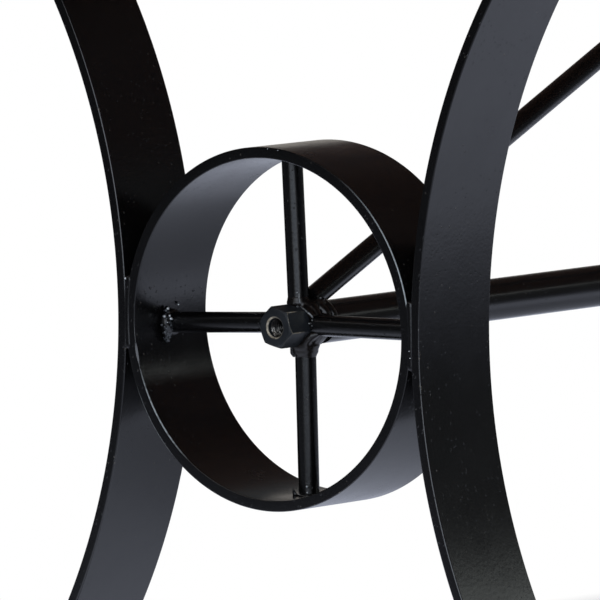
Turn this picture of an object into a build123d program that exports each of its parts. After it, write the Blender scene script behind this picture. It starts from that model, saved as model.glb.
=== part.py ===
"""Wagon wheel cocktail table: a plank top with breadboard ends on a welded flat-bar base.

Frame: +Z up, +Y along the table, +X across it. The origin is on the floor, under the middle of the top.
Each end of the base is a pair of back-to-back arcs with a small four-spoked wheel between them.
The front end stands at -Y. The rear end is the same weldment, turned half round about Z.
All sizes are millimetres.
"""
from build123d import *
import os
from math import cos, radians, sin, tan

# ---- Whole table
TABLE_LENGTH = 1220.0
TABLE_WIDTH = 660.0
TABLE_HEIGHT = 457.0
TOP_OVERHANG = 164.0       # end of the top to the middle of a wheel, along Y

# ---- Plank top
TOP_THICKNESS = 36.0
PLANK_COUNT = 5
BREADBOARD_WIDTH = 90.0    # along Y
TONGUE_LENGTH = 30.0       # plank tongue inside the breadboard's groove
TONGUE_THICKNESS = 12.0
WOOD_FIT = 0.2             # clearance of a tongue in its groove
PEG_DIAMETER = 9.0
PEG_COVER = 6.0            # wood left under a peg
BOARD_EASING = 1.5         # chamfer on the long edges of every board

# ---- Flat bar, bent into arcs, wheels, rails and the brace plate
BAR_WIDTH = 50.0
BAR_THICKNESS = 5.0
BAR_EASING = 0.8           # corners of the bar, eased at 45 degrees
WHEEL_DIAMETER = 165.0     # outside of the wheel's rim
ARC_BOW = 78.6             # how far an arc spreads from its middle to its ends, on the convex face
TOP_RAIL_SETBACK = 45.0    # side of the top to the end of a top rail
BRACE_PLATE_LENGTH = 170.0

# ---- Hub, spokes, stretcher and braces
NUT_FLATS = 17.0           # M10 coupling nut
NUT_LENGTH = 30.0
NUT_TURN = -9.0            # degrees, corner of the hexagon from +X
NUT_FACE_SHARE = 0.96      # chamfer circle over the width across flats
TAPPED_DIAMETER = 8.5
COUNTERSINK_DIAMETER = 10.4
NUT_REAR = 13.0            # middle of the spokes to the nut's rear face
SPOKE_DIAMETER = 9.5
STRETCHER_DIAMETER = 19.0
STRETCHER_WALL = 1.5
BRACE_DIAMETER = 10.0
BRACE_LANDING = 25.0       # brace axis from the table's middle, where it meets the plate
# Spokes are set by eye before welding: degrees from +X seen from outside, and sideways offset.
SPOKE_SET = {
    "right": (1.0, 0.4),
    "top": (92.7, 1.7),
    "left": (183.2, -1.0),
    "bottom": (271.2, 1.4),
}

# ---- Seam welds that close the gap between a rim and its arcs
SEAM_START = 4.0           # height above the touching line
SEAM_END = 15.0
SEAM_DEPTH = 6.0           # along Y, from each edge of the bar

# ---- Fasteners
SCREW_DIAMETER = 5.0
SCREW_COVER = 12.5         # wood left above a screw's tip
SCREW_HEAD_DIAMETER = 10.0
SCREW_HEAD_HEIGHT = 3.5
WASHER_DIAMETER = 15.0
WASHER_THICKNESS = 1.5
RAIL_HOLE_CLEARANCE = 1.25 # radial, so that the planks can swell and shrink
FASTENER_FIT = 0.05        # radial
RAIL_SCREW_INSET = 21.0    # outer screws from the ends of a top rail
RAIL_SCREW_GAP = 29.0      # inner screws from the ends of the arcs
PLATE_SCREW_INSET = 15.0   # plate screws from the plate's ends
PLATE_SCREW_SPREAD = 26.0  # between the two screws at one end, across the plate

# ---- Levelling feet
PAD_DIAMETER = 32.0
PAD_THICKNESS = 5.0
PAD_BOSS_DIAMETER = 16.0
PAD_BOSS_HEIGHT = 2.0
PAD_EASING = 1.0
SOCKET_FLOOR = 2.5         # pad left under the end of the stem
STEM_DIAMETER = 7.9        # M8
STEM_RUN_FIT = 0.05        # radial, in the weld nut and in the pad's socket
STEM_REACH = 23.0          # thread above the collar
COLLAR_FLATS = 13.0
COLLAR_THICKNESS = 3.0
WELD_NUT_FLATS = 13.0
WELD_NUT_HEIGHT = 6.5
STEM_HOLE_CLEARANCE = 0.55 # radial, in the foot rail
FOOT_GAP = 54.0            # foot axis from the end of its arc
FOOT_INSET = 25.0          # foot axis from the end of its rail

# ---- Worked out from the sizes above
TOP_UNDERSIDE = TABLE_HEIGHT - TOP_THICKNESS
TOP_MIDDLE = TABLE_HEIGHT - TOP_THICKNESS / 2
TOP_RAIL_UNDERSIDE = TOP_UNDERSIDE - BAR_THICKNESS
PAD_HEIGHT = PAD_THICKNESS + PAD_BOSS_HEIGHT
FOOT_RAIL_UNDERSIDE = PAD_HEIGHT + COLLAR_THICKNESS
FOOT_RAIL_TOP = FOOT_RAIL_UNDERSIDE + BAR_THICKNESS
ARC_HEIGHT = TOP_RAIL_UNDERSIDE - FOOT_RAIL_TOP
HUB_HEIGHT = FOOT_RAIL_TOP + ARC_HEIGHT / 2
WHEEL_Y = TABLE_LENGTH / 2 - TOP_OVERHANG
RIM_OUTSIDE = WHEEL_DIAMETER / 2
RIM_INSIDE = RIM_OUTSIDE - BAR_THICKNESS
ARC_RADIUS = ((ARC_HEIGHT / 2) ** 2 + ARC_BOW**2) / (2 * ARC_BOW)
ARC_CENTRE = RIM_OUTSIDE + ARC_RADIUS
ARC_END = RIM_OUTSIDE + ARC_BOW
NUT_FACE = NUT_REAR - NUT_LENGTH
PLANK_WIDTH = TABLE_WIDTH / PLANK_COUNT
PLANK_CENTRES = [(i - (PLANK_COUNT - 1) / 2) * PLANK_WIDTH for i in range(PLANK_COUNT)]
SHOULDER = TABLE_LENGTH / 2 - BREADBOARD_WIDTH
PEG_LINE = SHOULDER + TONGUE_LENGTH / 2
PEG_END = TOP_UNDERSIDE + PEG_COVER
TOP_RAIL_LENGTH = TABLE_WIDTH - 2 * TOP_RAIL_SETBACK
FOOT_X = ARC_END + FOOT_GAP
FOOT_RAIL_LENGTH = 2 * (FOOT_X + FOOT_INSET)
OUTER_SCREW_X = TOP_RAIL_LENGTH / 2 - RAIL_SCREW_INSET
INNER_SCREW_X = ARC_END - RAIL_SCREW_GAP
RAIL_SCREW_X = [-OUTER_SCREW_X, -INNER_SCREW_X, 0, INNER_SCREW_X, OUTER_SCREW_X]
RAIL_SCREWS = [(x, y) for y in (-WHEEL_Y, WHEEL_Y) for x in RAIL_SCREW_X]
PLATE_SCREW_X = PLATE_SCREW_SPREAD / 2
PLATE_SCREW_Y = BRACE_PLATE_LENGTH / 2 - PLATE_SCREW_INSET
PLATE_SCREWS = [(x * PLATE_SCREW_X, y * PLATE_SCREW_Y) for y in (-1, 1) for x in (-1, 1)]
SCREW_SEAT = TOP_RAIL_UNDERSIDE - WASHER_THICKNESS
SCREW_TIP = TABLE_HEIGHT - SCREW_COVER


def along_y(sketch, start, end):
    """A sketch drawn in X and Z, extruded from Y = start to Y = end."""
    return Pos(0, start, 0) * extrude(Plane.XZ * sketch, amount=-(end - start))


def upright(radius, bottom, top, x=0.0, y=0.0):
    """A vertical cylinder between two heights."""
    return Pos(x, y, (bottom + top) / 2) * Cylinder(radius, top - bottom)


def rod(start, end, diameter):
    """A round bar between two points."""
    axis = Vector(*end) - Vector(*start)
    plane = Plane(origin=Vector(*start), z_dir=axis)
    return extrude(plane * Circle(diameter / 2), amount=axis.length)


def flat_bar(length_x, length_y, bottom):
    """A straight piece of the flat bar, lying flat."""
    bar = Pos(0, 0, bottom + BAR_THICKNESS / 2) * Box(length_x, length_y, BAR_THICKNESS)
    longways = Axis.X if length_x > length_y else Axis.Y
    return chamfer(bar.edges().filter_by(longways), BAR_EASING)


def hoop(outside_radius):
    """A full circle of the flat bar about the Y axis."""
    section = chamfer(Rectangle(BAR_THICKNESS, BAR_WIDTH).vertices(), BAR_EASING)
    return revolve(Pos(outside_radius - BAR_THICKNESS / 2, 0) * section, Axis.Y, 360)


# ---- One end of the base, with its wheel centred on the Y axis at the origin, facing -Y

def wheel_rim():
    return hoop(RIM_OUTSIDE)


def leg_arc(side):
    """One leg: side -1 stands at -X and side 1 at +X. Its ends are cut flat on the rails."""
    window = Pos(side * ARC_CENTRE / 2, 0, 0) * Box(ARC_CENTRE, BAR_WIDTH, ARC_HEIGHT)
    return Pos(side * ARC_CENTRE, 0, 0) * hoop(ARC_RADIUS) & window


def nut_blank():
    """The hexagon of the hub nut, without its hole."""
    hexagon = Rot(0, 0, NUT_TURN) * RegularPolygon(NUT_FLATS / 2, 6, major_radius=False)
    return along_y(hexagon, NUT_FACE, NUT_REAR)


def hub_nut():
    corner_radius = NUT_FLATS / 2 / cos(radians(30))
    face_radius = NUT_FLATS / 2 * NUT_FACE_SHARE
    drop = (corner_radius - face_radius) * tan(radians(30))
    barrel = along_y(Circle(corner_radius), NUT_FACE, NUT_REAR)
    barrel = chamfer(barrel.faces().sort_by(Axis.Y)[0].edges(), drop, corner_radius - face_radius)
    barrel = chamfer(barrel.faces().sort_by(Axis.Y)[-1].edges(), drop, corner_radius - face_radius)
    nut = nut_blank() & barrel
    nut -= along_y(Circle(TAPPED_DIAMETER / 2), NUT_FACE, NUT_REAR)
    lead = (COUNTERSINK_DIAMETER - TAPPED_DIAMETER) / 2
    for mouth, facing in ((NUT_FACE, -1), (NUT_REAR, 1)):
        plane = Plane(origin=(0, mouth, 0), z_dir=(0, -facing, 0))
        sink = extrude(plane * Circle(COUNTERSINK_DIAMETER / 2), amount=lead, taper=45)
        nut -= sink
    return nut


def spoke(name):
    """A round bar from a flat of the nut to the inside of the rim, coped at both ends."""
    angle, offset = SPOKE_SET[name]
    along = Vector(cos(radians(angle)), 0, sin(radians(angle)))
    aside = Vector(-sin(radians(angle)), 0, cos(radians(angle))) * offset
    bar = rod(aside, aside + along * RIM_OUTSIDE, SPOKE_DIAMETER)
    bar &= along_y(Circle(RIM_INSIDE), -BAR_WIDTH / 2, BAR_WIDTH / 2)
    return bar - nut_blank()


def seam_welds():
    """Eight beads, above and below each touching line, at both edges of the bar."""
    gap = ARC_RADIUS - (ARC_RADIUS**2 - SEAM_END**2) ** 0.5
    gap += RIM_OUTSIDE - (RIM_OUTSIDE**2 - SEAM_END**2) ** 0.5
    beads = []
    for side in (-1, 1):
        hoops = Circle(RIM_OUTSIDE) + Pos(side * ARC_CENTRE, 0) * Circle(ARC_RADIUS)
        for way in (-1, 1):
            middle = way * (SEAM_START + SEAM_END) / 2
            strip = Pos(side * RIM_OUTSIDE, middle) * Rectangle(2 * gap, SEAM_END - SEAM_START)
            wedge = strip - hoops
            for edge in (-1, 1):
                start = edge * (BAR_WIDTH / 2 - BAR_EASING - SEAM_DEPTH / 2) - SEAM_DEPTH / 2
                beads.append(along_y(wedge, start, start + SEAM_DEPTH))
    return beads


def top_rail():
    rail = flat_bar(TOP_RAIL_LENGTH, BAR_WIDTH, TOP_RAIL_UNDERSIDE - HUB_HEIGHT)
    radius = SCREW_DIAMETER / 2 + RAIL_HOLE_CLEARANCE
    for x in RAIL_SCREW_X:
        rail -= upright(radius, TOP_RAIL_UNDERSIDE - HUB_HEIGHT, TOP_UNDERSIDE - HUB_HEIGHT, x)
    return rail


def foot_rail():
    rail = flat_bar(FOOT_RAIL_LENGTH, BAR_WIDTH, FOOT_RAIL_UNDERSIDE - HUB_HEIGHT)
    radius = STEM_DIAMETER / 2 + STEM_HOLE_CLEARANCE
    for x in (-FOOT_X, FOOT_X):
        rail -= upright(radius, FOOT_RAIL_UNDERSIDE - HUB_HEIGHT, FOOT_RAIL_TOP - HUB_HEIGHT, x)
    return rail


# ---- Pieces that join the two ends, in the table's own frame

def stretcher():
    reach = WHEEL_Y - NUT_REAR
    ring = Circle(STRETCHER_DIAMETER / 2) - Circle(STRETCHER_DIAMETER / 2 - STRETCHER_WALL)
    return Pos(0, 0, HUB_HEIGHT) * along_y(ring, -reach, reach)


def front_brace():
    """A round bar from the top of the front hub to the plate, coped over the nut and the tube."""
    low = Vector(0, -WHEEL_Y, HUB_HEIGHT + NUT_FLATS / 2)
    high = Vector(0, -BRACE_LANDING, TOP_RAIL_UNDERSIDE)
    spare = (high - low).normalized() * BRACE_DIAMETER * 2
    bar = rod(low - spare, high + spare, BRACE_DIAMETER)
    start = -WHEEL_Y + SPOKE_DIAMETER / 2
    room = TOP_RAIL_UNDERSIDE - HUB_HEIGHT
    window = Pos(0, start / 2, HUB_HEIGHT + room / 2) * Box(BRACE_DIAMETER * 2, -start, room)
    bar &= window
    bar -= Pos(0, -WHEEL_Y, HUB_HEIGHT) * nut_blank()
    return bar - Pos(0, 0, HUB_HEIGHT) * along_y(Circle(STRETCHER_DIAMETER / 2), -WHEEL_Y, WHEEL_Y)


def brace_plate():
    plate = flat_bar(BAR_WIDTH, BRACE_PLATE_LENGTH, TOP_RAIL_UNDERSIDE)
    radius = SCREW_DIAMETER / 2 + FASTENER_FIT
    for x, y in PLATE_SCREWS:
        plate -= upright(radius, TOP_RAIL_UNDERSIDE, TOP_UNDERSIDE, x, y)
    return plate


# ---- Top

def eased(board, axis):
    """Chamfers a board's long edges."""
    return chamfer(board.edges().filter_by(axis), BOARD_EASING)


def plank(centre):
    """One board of the top, with a tongue at each end and pilot holes for its screws."""
    board = eased(Pos(centre, 0, TOP_MIDDLE) * Box(PLANK_WIDTH, 2 * SHOULDER, TOP_THICKNESS), Axis.Y)
    tongue_reach = SHOULDER + TONGUE_LENGTH
    board += Pos(centre, 0, TOP_MIDDLE) * Box(PLANK_WIDTH, 2 * tongue_reach, TONGUE_THICKNESS)
    radius = SCREW_DIAMETER / 2 + FASTENER_FIT
    for x, y in RAIL_SCREWS + PLATE_SCREWS:
        if abs(x - centre) < PLANK_WIDTH / 2 + radius:
            board -= upright(radius, TOP_UNDERSIDE, SCREW_TIP + FASTENER_FIT, x, y)
    for y in (-PEG_LINE, PEG_LINE):
        board -= upright(PEG_DIAMETER / 2 + FASTENER_FIT, TOP_UNDERSIDE, TABLE_HEIGHT, centre, y)
    return board


def front_breadboard():
    """The board across the front end, grooved along its inner edge."""
    y = -(TABLE_LENGTH - BREADBOARD_WIDTH) / 2
    board = eased(Pos(0, y, TOP_MIDDLE) * Box(TABLE_WIDTH, BREADBOARD_WIDTH, TOP_THICKNESS), Axis.X)
    depth = TONGUE_LENGTH + WOOD_FIT
    height = TONGUE_THICKNESS + 2 * WOOD_FIT
    board -= Pos(0, -SHOULDER - depth / 2, TOP_MIDDLE) * Box(TABLE_WIDTH, depth, height)
    for x in PLANK_CENTRES:
        board -= upright(PEG_DIAMETER / 2 + FASTENER_FIT, PEG_END, TABLE_HEIGHT, x, -PEG_LINE)
    return board


def front_pegs():
    return [upright(PEG_DIAMETER / 2, PEG_END, TABLE_HEIGHT, x, -PEG_LINE) for x in PLANK_CENTRES]


# ---- Fasteners

def screw(x, y):
    head = upright(SCREW_HEAD_DIAMETER / 2, SCREW_SEAT - SCREW_HEAD_HEIGHT, SCREW_SEAT, x, y)
    head = fillet(head.faces().sort_by(Axis.Z)[0].edges(), SCREW_HEAD_HEIGHT / 2)
    return head + upright(SCREW_DIAMETER / 2, SCREW_SEAT, SCREW_TIP, x, y)


def washer(x, y):
    disc = upright(WASHER_DIAMETER / 2, SCREW_SEAT, TOP_RAIL_UNDERSIDE, x, y)
    hole = upright(SCREW_DIAMETER / 2 + FASTENER_FIT, SCREW_SEAT, TOP_RAIL_UNDERSIDE, x, y)
    return disc - hole


def weld_nut(x, y):
    """The threaded seat of a levelling foot, welded on top of the foot rail."""
    hexagon = RegularPolygon(WELD_NUT_FLATS / 2, 6, major_radius=False)
    hexagon -= Circle(STEM_DIAMETER / 2 + STEM_RUN_FIT)
    return Pos(x, y, FOOT_RAIL_TOP) * extrude(hexagon, amount=WELD_NUT_HEIGHT)


# ---- Levelling feet

def foot_pad(x, y):
    pad = upright(PAD_DIAMETER / 2, 0, PAD_THICKNESS)
    pad = chamfer(pad.edges().filter_by(GeomType.CIRCLE), PAD_EASING)
    pad += upright(PAD_BOSS_DIAMETER / 2, PAD_THICKNESS, PAD_HEIGHT)
    pad -= upright(STEM_DIAMETER / 2 + STEM_RUN_FIT, SOCKET_FLOOR, PAD_HEIGHT)
    return Pos(x, y, 0) * pad


def foot_stem(x, y):
    """The screw of a foot: a spigot in the pad, a spanner collar and the thread."""
    collar = extrude(RegularPolygon(COLLAR_FLATS / 2, 6, major_radius=False), amount=COLLAR_THICKNESS)
    stem = Pos(0, 0, PAD_HEIGHT) * collar
    stem += upright(STEM_DIAMETER / 2, SOCKET_FLOOR, FOOT_RAIL_UNDERSIDE + STEM_REACH)
    return Pos(x, y, 0) * stem


# ---- Assembly

HALF_TURN = Rot(0, 0, 180)
FRONT = Pos(0, -WHEEL_Y, HUB_HEIGHT)
REAR = HALF_TURN * FRONT
FEET = {
    "front_left": (-FOOT_X, -WHEEL_Y),
    "front_right": (FOOT_X, -WHEEL_Y),
    "rear_left": (-FOOT_X, WHEEL_Y),
    "rear_right": (FOOT_X, WHEEL_Y),
}


def end_of_base(end, place, sides):
    """One end's pieces by node name. sides gives the two arcs' own sides, left first."""
    pieces = {
        f"{end}_wheel_rim": wheel_rim(),
        f"{end}_hub_nut": hub_nut(),
        f"{end}_top_rail": top_rail(),
        f"{end}_foot_rail": foot_rail(),
        f"{end}_left_arc": leg_arc(sides[0]),
        f"{end}_right_arc": leg_arc(sides[1]),
        f"{end}_spoke_left": spoke("left" if sides[0] < 0 else "right"),
        f"{end}_spoke_right": spoke("right" if sides[0] < 0 else "left"),
        f"{end}_spoke_top": spoke("top"),
        f"{end}_spoke_bottom": spoke("bottom"),
    }
    placed = {name: place * piece for name, piece in pieces.items()}
    placed[f"{end}_seam_welds"] = [place * bead for bead in seam_welds()]
    return placed


def table():
    nodes = {}
    nodes.update(end_of_base("front", FRONT, (-1, 1)))
    nodes.update(end_of_base("rear", REAR, (1, -1)))
    nodes["stretcher_tube"] = stretcher()
    nodes["front_brace"] = front_brace()
    nodes["rear_brace"] = HALF_TURN * front_brace()
    nodes["brace_plate"] = brace_plate()
    for number, centre in enumerate(PLANK_CENTRES, start=1):
        nodes[f"plank_{number}"] = plank(centre)
    nodes["front_breadboard"] = front_breadboard()
    nodes["rear_breadboard"] = HALF_TURN * front_breadboard()
    nodes["front_pegs"] = front_pegs()
    nodes["rear_pegs"] = [HALF_TURN * peg for peg in front_pegs()]
    nodes["top_rail_screws"] = [screw(x, y) for x, y in RAIL_SCREWS]
    nodes["top_rail_washers"] = [washer(x, y) for x, y in RAIL_SCREWS]
    nodes["brace_plate_screws"] = [screw(x, y) for x, y in PLATE_SCREWS]
    nodes["brace_plate_washers"] = [washer(x, y) for x, y in PLATE_SCREWS]
    nodes["foot_weld_nuts"] = [weld_nut(x, y) for x, y in FEET.values()]
    for name, (x, y) in FEET.items():
        nodes[f"{name}_foot_pad"] = foot_pad(x, y)
        nodes[f"{name}_foot_stem"] = foot_stem(x, y)
    return nodes


def as_shape(piece):
    """A node's shape: one solid, or a compound of a group's solids."""
    if isinstance(piece, list):
        return Compound(children=[solid for item in piece for solid in item.solids()])
    return piece


os.makedirs("parts", exist_ok=True)
for name, piece in table().items():
    export_step(as_shape(piece), f"parts/{name}.step")
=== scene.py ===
"""The finish of the wagon wheel table: black painted iron, hand-laid weld beads and an oiled plank top.

Everything is in metres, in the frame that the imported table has: +Z up, +Y along the table, the floor at Z = 0.
One end of the base is modelled at -Y, and the other end is a copy of it turned half round.
"""
import bpy
import random
from math import atan2, cos, degrees, pi, radians, sin, tan
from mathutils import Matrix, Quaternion, Vector


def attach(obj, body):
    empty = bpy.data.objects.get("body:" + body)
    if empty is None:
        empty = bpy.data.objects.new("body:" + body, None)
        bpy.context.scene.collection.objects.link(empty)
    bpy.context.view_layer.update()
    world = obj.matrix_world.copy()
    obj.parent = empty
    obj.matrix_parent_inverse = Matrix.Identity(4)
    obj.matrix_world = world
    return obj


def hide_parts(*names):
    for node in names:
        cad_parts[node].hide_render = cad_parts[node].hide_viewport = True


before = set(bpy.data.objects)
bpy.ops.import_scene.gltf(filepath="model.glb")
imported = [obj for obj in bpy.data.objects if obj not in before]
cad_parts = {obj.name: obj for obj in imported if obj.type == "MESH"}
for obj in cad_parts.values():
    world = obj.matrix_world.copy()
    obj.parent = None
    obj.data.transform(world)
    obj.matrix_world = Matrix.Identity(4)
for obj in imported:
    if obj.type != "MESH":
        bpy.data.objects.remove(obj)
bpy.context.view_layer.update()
BASE = "base_and_top"
MM = 0.001
UP = Vector((0, 0, 1))
ALONG = Vector((0, 1, 0))     # along the table, from the front end to the rear end

# ---- Sizes of the base, in metres
WHEEL_Y = 0.446
HUB_HEIGHT = 0.2155
RIM_OUTSIDE = 0.0825
ARC_RADIUS = 0.29503
ARC_END = 0.1611           # middle of the table to an arc's convex face, at the rails
BAR_WIDTH = 0.050
BAR_THICKNESS = 0.005
BAR_CORNER = 0.0008
RIM_CORNER = 0.00045
RIM_SIDES = 256
ARC_SIDES = 540
RAIL_SCREW_HOLE = 0.00375
FOOT_HOLE = 0.0045
TOP_RAIL_LENGTH = 0.570
TOP_RAIL_BOTTOM = 0.416
FOOT_RAIL_LENGTH = 0.4802
FOOT_RAIL_BOTTOM = 0.010
FOOT_RAIL_TOP = 0.015
BRACE_PLATE_LENGTH = 0.170
SPOKE_RADIUS = 0.00475
SPOKE_ROOT = 0.006            # where a spoke starts, from the middle of the hub
SPOKE_BITE = 0.0012           # how far a spoke reaches into the rim
TUBE_RADIUS = 0.0096
TUBE_LIFT = 0.0004
TUBE_END = 0.012              # from the middle of the hub
BRACE_RADIUS = 0.005
BRACE_LANDING = 0.025
BRACE_FOOT = 0.0045           # the height of the rod's lowest point above the middle of the hub
RIM_INSIDE = RIM_OUTSIDE - BAR_THICKNESS
GROUND_AT = 10.5              # degrees below the left spoke
GROUND_DEPTH = 0.00095
GRINDER_RADIUS = 0.030
HUB = Vector((0, -WHEEL_Y, HUB_HEIGHT))

# ---- How far the hand-fitted bars are from their drawn places
SPOKE_SET = {"right": (1.0, 0.0004), "top": (92.7, 0.0017), "left": (183.2, -0.0013), "bottom": (271.2, 0.0014)}
RIM_SET = (-0.0004, 0.0001)
RIM_BENT = (1.003, 0.991)
ARC_SET = {-1: (-0.0007, 0.0020), 1: (0.0002, 0.0010)}

# ---- Hub nut: it sits a little off the wheel's centre, as it was tacked
NUT_FLATS = 0.017
NUT_LENGTH = 0.0305
NUT_PLACE = HUB + Vector((-0.0009, -0.0030, 0.0004))
NUT_TURN = radians(-13)
NUT_FACE_RADIUS = 0.0081
NUT_BORE = 0.00425
NUT_SINK = 0.0050             # radius of the countersinks
NUT_PITCH = 0.0015
NUT_THREAD_ROOT = 0.0045
NUT_THREAD_CREST = 0.0038
NUT_THREAD_START = 0.0022     # from the nut's outer end

# ---- Levelling feet
FOOT_X = 0.2151
FEET = {"front_left": (-1, -1), "front_right": (1, -1), "rear_left": (-1, 1), "rear_right": (1, 1)}
STEM_RADIUS = 0.00395
STEM_ROOT = 0.0034
STEM_TOP = 0.033
STEM_PITCH = 0.00125
PAD_RADIUS = 0.016
PAD_THICKNESS = 0.005
PAD_TOP = 0.007
PAD_SOCKET = 0.0025           # the floor of the socket that the screw's spigot sits in
HEX_FLATS = 0.013
HEX_FACE_RADIUS = 0.0062
WELD_NUT_TOP = 0.0215

# ---- Plank top and its screws
TABLE_TOP = 0.457
TOP_UNDERSIDE = 0.421
TOP_WIDTH = 0.660
PLANK_WIDTH = 0.132
PLANKS = 5
TOP_LENGTH = 1.220
SHOULDER = 0.520
PEG_LINE = 0.535
PEG_RADIUS = 0.0045
PLANK_CORNER = 0.0022
PLANE_STROKE = 0.011          # distance between the points where a board's skin can dip
PLANE_DEPTH = 0.0011
SCREW_SEAT = 0.4145
SCREW_HEAD_RADIUS = 0.005
SCREW_HEAD_HEIGHT = 0.0035
SCREW_RECESS = (0.0052, 0.0011, 0.0030)
WASHER_RADIUS = 0.0075
RAIL_SCREW_X = (-0.264, -0.1321, 0.0, 0.1321, 0.264)
PLATE_SCREWS = [(x, y) for y in (-0.070, 0.070) for x in (-0.013, 0.013)]


# ---- Workshop: small helpers around Blender's own tools

def alone(piece):
    """Selects one piece and nothing else."""
    bpy.ops.object.select_all(action="DESELECT")
    piece.select_set(True)
    bpy.context.view_layer.objects.active = piece


def named(name):
    """Names the piece that was just added."""
    piece = bpy.context.active_object
    piece.name = piece.data.name = name
    return piece


def apply(piece, kind, **settings):
    """Puts one modifier on a piece and applies it."""
    alone(piece)
    modifier = piece.modifiers.new(kind, kind)
    for setting, value in settings.items():
        setattr(modifier, setting, value)
    bpy.ops.object.modifier_apply(modifier=kind)


def settle(piece):
    """Puts the piece's place into its mesh, with the object at the origin."""
    alone(piece)
    bpy.ops.object.transform_apply(location=True, rotation=True, scale=True)
    return piece


def place_at(piece, location, rotation=(0, 0, 0)):
    """Turns a piece about the origin, and then moves it."""
    piece.rotation_euler = rotation
    piece.location = location
    return settle(piece)


def pick(piece, test, element="FACE"):
    """Opens a piece for editing with only the faces or edges selected that pass the test."""
    alone(piece)
    bpy.ops.object.mode_set(mode="EDIT")
    bpy.ops.mesh.select_mode(type=element)
    bpy.ops.mesh.select_all(action="DESELECT")
    bpy.ops.object.mode_set(mode="OBJECT")
    mesh = piece.data
    if element == "FACE":
        for face in mesh.polygons:
            face.select = test(face.center, face.normal)
    else:
        for edge in mesh.edges:
            first, second = (mesh.vertices[i].co for i in edge.vertices)
            edge.select = test((first + second) / 2, (second - first).normalized())
    bpy.ops.object.mode_set(mode="EDIT")


def close():
    """Ends the editing."""
    bpy.ops.object.mode_set(mode="OBJECT")


def saw(piece, point, normal):
    """Cuts a piece flat and closes the cut. What lies on the normal's side is thrown away."""
    alone(piece)
    bpy.ops.object.mode_set(mode="EDIT")
    bpy.ops.mesh.select_all(action="SELECT")
    bpy.ops.mesh.bisect(plane_co=point, plane_no=normal, use_fill=True, clear_outer=True)
    close()


def smooth(piece, angle=35):
    """Shades a piece smooth, but for the corners that turn by more than this angle."""
    alone(piece)
    bpy.ops.object.shade_smooth_by_angle(angle=radians(angle))
    return piece


def chamfer(piece, width, angle, segments=2, **settings):
    """Breaks every corner of a piece that turns by more than this angle."""
    apply(piece, "BEVEL", width=width, segments=segments, limit_method="ANGLE", angle_limit=radians(angle),
          **settings)


def round_end(piece, way, offset, segments):
    """Rounds the edge of a piece's flat end. Way 1 is its top, and -1 its underside."""
    pick(piece, lambda place, normal: normal.z * way > 0.9)
    bpy.ops.mesh.bevel(offset=offset, segments=segments)
    close()


def block(name, low, high):
    """A rectangular block between two corners."""
    low, high = Vector(low), Vector(high)
    bpy.ops.mesh.primitive_cube_add(size=1, location=(low + high) / 2, scale=high - low)
    return settle(named(name))


def round_bar(name, start, end, radius, sides=48):
    """A round bar between two points."""
    axis = end - start
    turn = axis.to_track_quat("Z", "Y").to_euler()
    bpy.ops.mesh.primitive_cylinder_add(vertices=sides, radius=radius, depth=axis.length,
                                        location=(start + end) / 2, rotation=turn)
    return settle(named(name))


def upright(name, bottom, top, radius, sides=40, at=(0, 0)):
    """A round bar that stands straight up."""
    return round_bar(name, Vector((*at, bottom)), Vector((*at, top)), radius, sides)


def carve(piece, cutter, how="DIFFERENCE"):
    """Cuts one piece with another, which is used up."""
    apply(piece, "BOOLEAN", object=cutter, operation=how, solver="EXACT")
    bpy.data.objects.remove(cutter)


def join(piece, *others):
    """Makes several pieces one."""
    bpy.ops.object.select_all(action="DESELECT")
    for other in (piece, *others):
        other.select_set(True)
    bpy.context.view_layer.objects.active = piece
    bpy.ops.object.join()
    return piece


def twin(piece, name, move=(0, 0, 0), turn=0.0):
    """A copy with its own mesh, moved and turned about the vertical axis."""
    copy = piece.copy()
    copy.data = piece.data.copy()
    copy.name = copy.data.name = name
    bpy.context.scene.collection.objects.link(copy)
    return place_at(copy, move, (0, 0, turn))


def thread(name, root, crest, pitch, turns):
    """A screw thread's ridge, wound up from Z = 0 on the origin."""
    bpy.ops.mesh.primitive_circle_add(vertices=3, radius=pitch / 2, fill_type="NOTHING")
    ridge = named(name)
    corners = ((root, -pitch * 0.49), (root, pitch * 0.49), (crest, 0))
    for vertex, (reach, rise) in zip(ridge.data.vertices, corners):
        vertex.co = (reach, 0, rise)
    apply(ridge, "SCREW", axis="Z", screw_offset=pitch, iterations=turns, steps=40, render_steps=40,
          use_merge_vertices=True)
    pick(ridge, lambda place, normal: True)
    bpy.ops.mesh.remove_doubles(threshold=1e-6)
    bpy.ops.mesh.select_all(action="DESELECT")
    bpy.ops.mesh.select_mode(type="EDGE")
    bpy.ops.mesh.select_non_manifold()
    bpy.ops.mesh.fill()
    bpy.ops.mesh.select_all(action="SELECT")
    bpy.ops.mesh.normals_make_consistent(inside=False)
    close()
    return smooth(ridge, 40)


def hexagon(name, flats, bottom, top, face_radius, both=True):
    """A hexagon bar that stands on the origin, its corners turned off at 30 degrees at the top, or at both ends."""
    corner = flats / 2 / cos(radians(30))
    wide = corner * 1.03
    drop = (wide - face_radius) * tan(radians(30))
    bpy.ops.mesh.primitive_cylinder_add(vertices=6, radius=corner, depth=top - bottom,
                                        location=(0, 0, (top + bottom) / 2), rotation=(0, 0, pi / 2))
    bar = settle(named(name))
    low = bottom + drop if both else bottom - drop
    sides = 96
    barrel = place_at(upright("barrel", low, top - drop, wide, sides), (0, 0, 0), (0, 0, pi / sides))
    for end in (1, -1):
        pick(barrel, lambda place, normal: normal.z * end > 0.9)
        bpy.ops.mesh.extrude_region_move(TRANSFORM_OT_translate={"value": (0, 0, end * drop)})
        bpy.ops.transform.resize(value=(face_radius / wide,) * 2 + (1,))
        close()
    carve(bar, barrel, "INTERSECT")
    return bar


# ---- Flat bar

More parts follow.
